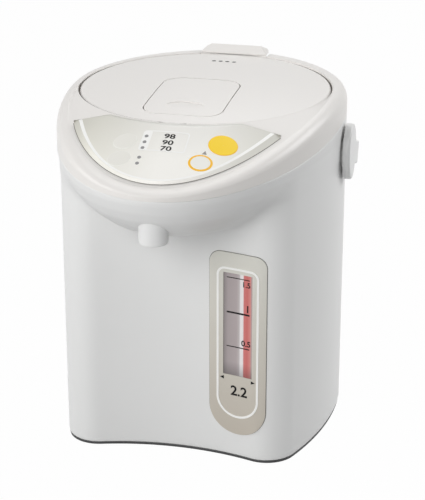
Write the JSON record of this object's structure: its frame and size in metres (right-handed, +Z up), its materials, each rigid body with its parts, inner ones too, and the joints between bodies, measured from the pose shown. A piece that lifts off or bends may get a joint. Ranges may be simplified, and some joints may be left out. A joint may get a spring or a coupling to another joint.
{
  "type": "electric thermo pot",
  "caption": "White electric thermo pot with a beak spout, control panel, water gauge window, domed lid with lift lever, and a folding carrying handle.",
  "frame": {"origin": "on the floor under the axis of the case", "axes": "+X to the right of a person facing the spout side, -Y the way the spout points, +Z up"},
  "size_m": [0.2098, 0.2889, 0.2476],
  "materials": {
    "case_white": "satin moulded polypropylene",
    "head_white": "satin moulded polypropylene, slightly warm",
    "panel_greige": "satin, finely grained",
    "key_yellow": "satin soft key",
    "key_orange": "satin soft key",
    "key_pale": "satin soft key",
    "lamp_red": "tinted clear lens",
    "circuit_board": "phenolic board",
    "black_plastic": "fine matt",
    "grey_plastic": "satin",
    "steel": "brushed stainless",
    "silicone": "matt silicone",
    "aluminium_casting": "cast",
    "white_ceramic": "glazed",
    "zinc_sheet": "zinc plated",
    "clear_glass": "clear",
    "clear_window": "smoke tint",
    "frame_white": "gloss",
    "scale_plate": "printed",
    "rubber_black": "matt",
    "brass_contact": "bright"
  },
  "bodies": {
    "pot": {"outer_case": "case_white", "shoulder_ring": "head_white", "control_panel": "panel_greige", "indicator_lamps": "lamp_red", "control_board": "circuit_board", "key_switches": "black_plastic", "lid_hinge_pin": "steel", "inner_container": "steel", "flange_gasket": "silicone", "heater": "aluminium_casting", "thermistor": "steel", "thermal_fuse": "white_ceramic", "vessel_cradle": "zinc_sheet", "pump_housing": "grey_plastic", "pump_seal": "silicone", "pump_motor": "zinc_sheet", "delivery_elbow": "silicone", "gauge_tube": "clear_glass", "outlet_pipe": "silicone", "spout_nozzle": "case_white", "gauge_surround": "panel_greige", "gauge_frame": "frame_white", "gauge_lens": "clear_window", "gauge_scale": "scale_plate", "handle_pivots": "grey_plastic", "base_cover": "black_plastic", "rubber_feet": "rubber_black", "base_screws": "steel", "power_inlet": "black_plastic", "inlet_contacts": "brass_contact", "inlet_magnets": "steel", "power_board": "circuit_board", "power_components": "black_plastic"},
    "lid": {"lid_shell": "head_white", "lever_pin": "steel", "lid_inner_plate": "steel", "lid_gasket": "silicone", "steam_valve": "grey_plastic", "tip_ball": "steel", "release_pin": "steel"},
    "lever": {"lid_lever": "head_white"},
    "latch": {"latch_slide": "grey_plastic"},
    "release": {"release_lever": "head_white"},
    "bail": {"handle": "case_white"},
    "impeller": {"pump_impeller": "black_plastic"},
    "dispense": {"dispense_key": "key_yellow"},
    "unlock": {"unlock_key": "key_orange"},
    "warmth": {"warmth_key": "key_pale"},
    "timer": {"timer_key": "key_pale"}
  },
  "joints": [
    {"name": "lid_hinge", "type": "hinge", "parent": "pot", "child": "lid", "pos_m": [0, 0.11, 0.2364], "axis": [-1, 0, 0], "range_deg": [0, 65]},
    {"name": "lever_lift", "type": "hinge", "parent": "lid", "child": "lever", "pos_m": [0, 0.0033, 0.2436], "axis": [-1, 0, 0], "range_deg": [0, 25], "stiffness_Nm_per_rad": 0.3, "springref_deg": -28.65},
    {"name": "latch_draw", "type": "slide", "parent": "lid", "child": "latch", "axis": [0, 1, 0], "range_m": [0, 0.004]},
    {"name": "release_press", "type": "hinge", "parent": "lid", "child": "release", "pos_m": [0, 0.1028, 0.2364], "axis": [-1, 0, 0], "range_deg": [0, 4], "stiffness_Nm_per_rad": 1, "springref_deg": -11.46},
    {"name": "handle_swing", "type": "hinge", "parent": "pot", "child": "bail", "pos_m": [0, 0.013, 0.2], "axis": [1, 0, 0], "range_deg": [0, 108]},
    {"name": "impeller_spin", "type": "hinge", "parent": "pot", "child": "impeller", "pos_m": [0.042, -0.032, 0.04], "axis": [0, 0, 1], "continuous": true},
    {"name": "dispense_press", "type": "slide", "parent": "pot", "child": "dispense", "axis": [0, 0.4478, -0.8942], "range_m": [0, 0.0008], "stiffness_N_per_m": 400, "springref_m": -0.002},
    {"name": "unlock_press", "type": "slide", "parent": "pot", "child": "unlock", "axis": [0, 0.4478, -0.8942], "range_m": [0, 0.0008], "stiffness_N_per_m": 400, "springref_m": -0.002},
    {"name": "warmth_press", "type": "slide", "parent": "pot", "child": "warmth", "axis": [0, 0.4478, -0.8942], "range_m": [0, 0.0008], "stiffness_N_per_m": 400, "springref_m": -0.002},
    {"name": "timer_press", "type": "slide", "parent": "pot", "child": "timer", "axis": [0, 0.4478, -0.8942], "range_m": [0, 0.0008], "stiffness_N_per_m": 400, "springref_m": -0.002}
  ],
  "couplings": [
    {"joint": "latch_draw", "follows": "lever_lift", "m_per_rad": 0.009167}
  ]
}
